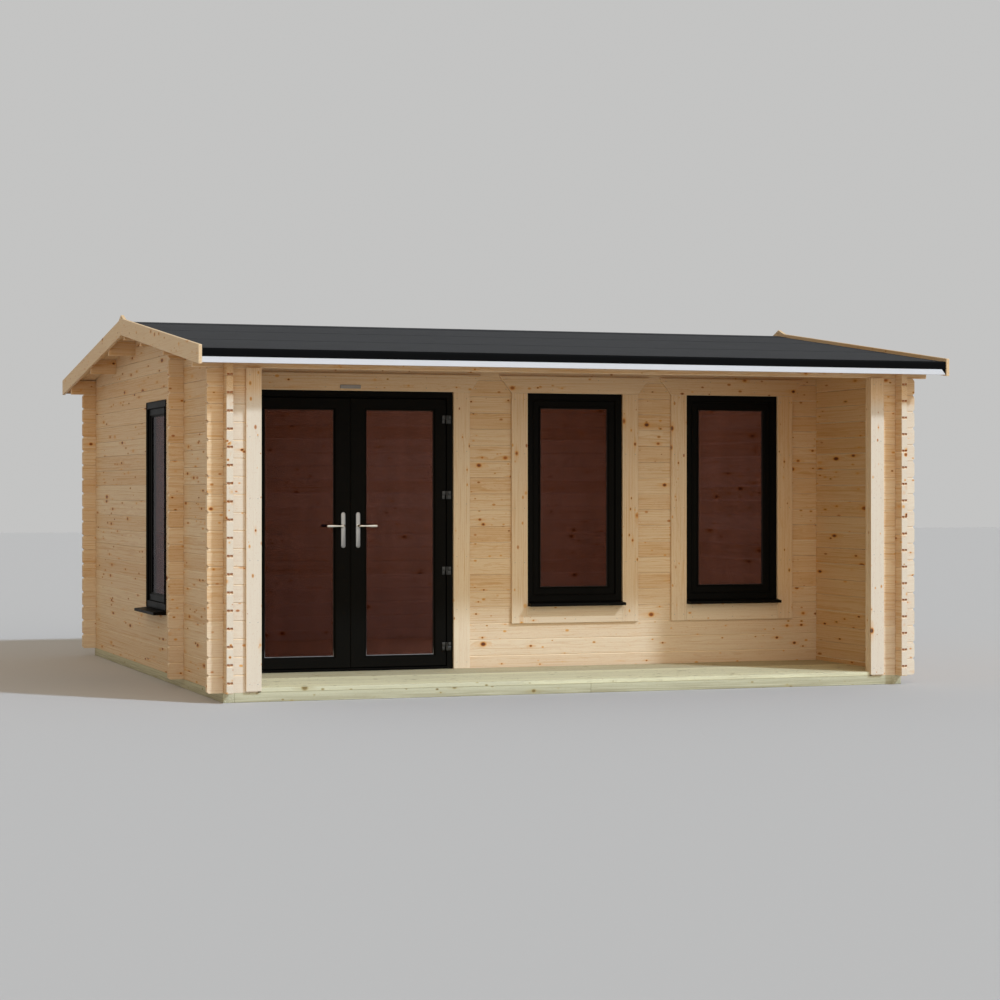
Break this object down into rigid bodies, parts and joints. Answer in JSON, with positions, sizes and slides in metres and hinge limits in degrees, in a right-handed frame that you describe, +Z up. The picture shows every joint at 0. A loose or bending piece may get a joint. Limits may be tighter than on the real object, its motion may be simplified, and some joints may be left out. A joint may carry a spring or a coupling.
{
  "type": "log cabin",
  "caption": "Square garden log cabin with a low gable roof, a veranda under the front slope, black French doors that open outwards and black-framed windows.",
  "frame": {"origin": "on the ground, under the middle of the roof", "axes": "+Z up, the front with the veranda and doors faces -Y, the ridge runs along X"},
  "size_m": [5.2106, 5.342, 2.5964],
  "materials": {
    "pine": "planed, untreated",
    "treated_timber": "pressure treated, sawn",
    "roof_felt": "mineral felt, matt",
    "black_plastic": "satin foil",
    "white_trim": "satin",
    "glass": "clear",
    "handle_steel": "satin",
    "hinge_metal": "satin"
  },
  "bodies": {
    "cabin": {"bargeboard_left_front": "pine", "bargeboard_left_rear": "pine", "bargeboard_right_front": "pine", "bargeboard_right_rear": "pine", "base_frame": "treated_timber", "corner_casing_left": "pine", "corner_casing_right": "pine", "door_frame": "black_plastic", "door_trim": "pine", "drip_trims": "white_trim", "eave_fascias": "pine", "frame_hinges": "hinge_metal", "front_corner_left": "pine", "front_corner_right": "pine", "front_eave_log": "pine", "front_wall_left": "pine", "front_wall_over_door": "pine", "front_wall_right": "pine", "left_wall": "pine", "rear_wall": "pine", "ridge_peaks": "pine", "right_wall": "pine", "roof_boards_front": "pine", "roof_boards_rear": "pine", "roof_felt_front": "roof_felt", "roof_felt_rear": "roof_felt", "roof_purlins": "pine", "room_floor": "pine", "veranda_deck": "treated_timber", "window_frames": "black_plastic", "window_panes": "glass", "window_sashes": "black_plastic", "window_sills": "black_plastic", "window_trim_middle": "pine", "window_trim_right": "pine"},
    "left_leaf": {"left_door": "black_plastic", "left_door_pane": "glass", "left_door_hinges": "hinge_metal", "left_handle_plates": "handle_steel"},
    "right_leaf": {"right_door": "black_plastic", "right_door_pane": "glass", "right_door_hinges": "hinge_metal", "right_handle_plates": "handle_steel"},
    "left_handle": {"left_lever": "handle_steel"},
    "right_handle": {"right_lever": "handle_steel"}
  },
  "joints": [
    {"name": "left_door_swing", "type": "hinge", "parent": "cabin", "child": "left_leaf", "pos_m": [-1.9175, -1.175, 1.04], "axis": [0, 0, -1], "range_deg": [0, 100]},
    {"name": "right_door_swing", "type": "hinge", "parent": "cabin", "child": "right_leaf", "pos_m": [-0.5245, -1.175, 1.04], "axis": [0, 0, 1], "range_deg": [0, 100]},
    {"name": "left_lever_turn", "type": "hinge", "parent": "left_leaf", "child": "left_handle", "pos_m": [-1.274, -1.137, 1.093], "axis": [0, -1, 0], "range_deg": [0, 40], "stiffness_Nm_per_rad": 1.5},
    {"name": "right_lever_turn", "type": "hinge", "parent": "right_leaf", "child": "right_handle", "pos_m": [-1.168, -1.137, 1.093], "axis": [0, 1, 0], "range_deg": [0, 40], "stiffness_Nm_per_rad": 1.5}
  ]
}
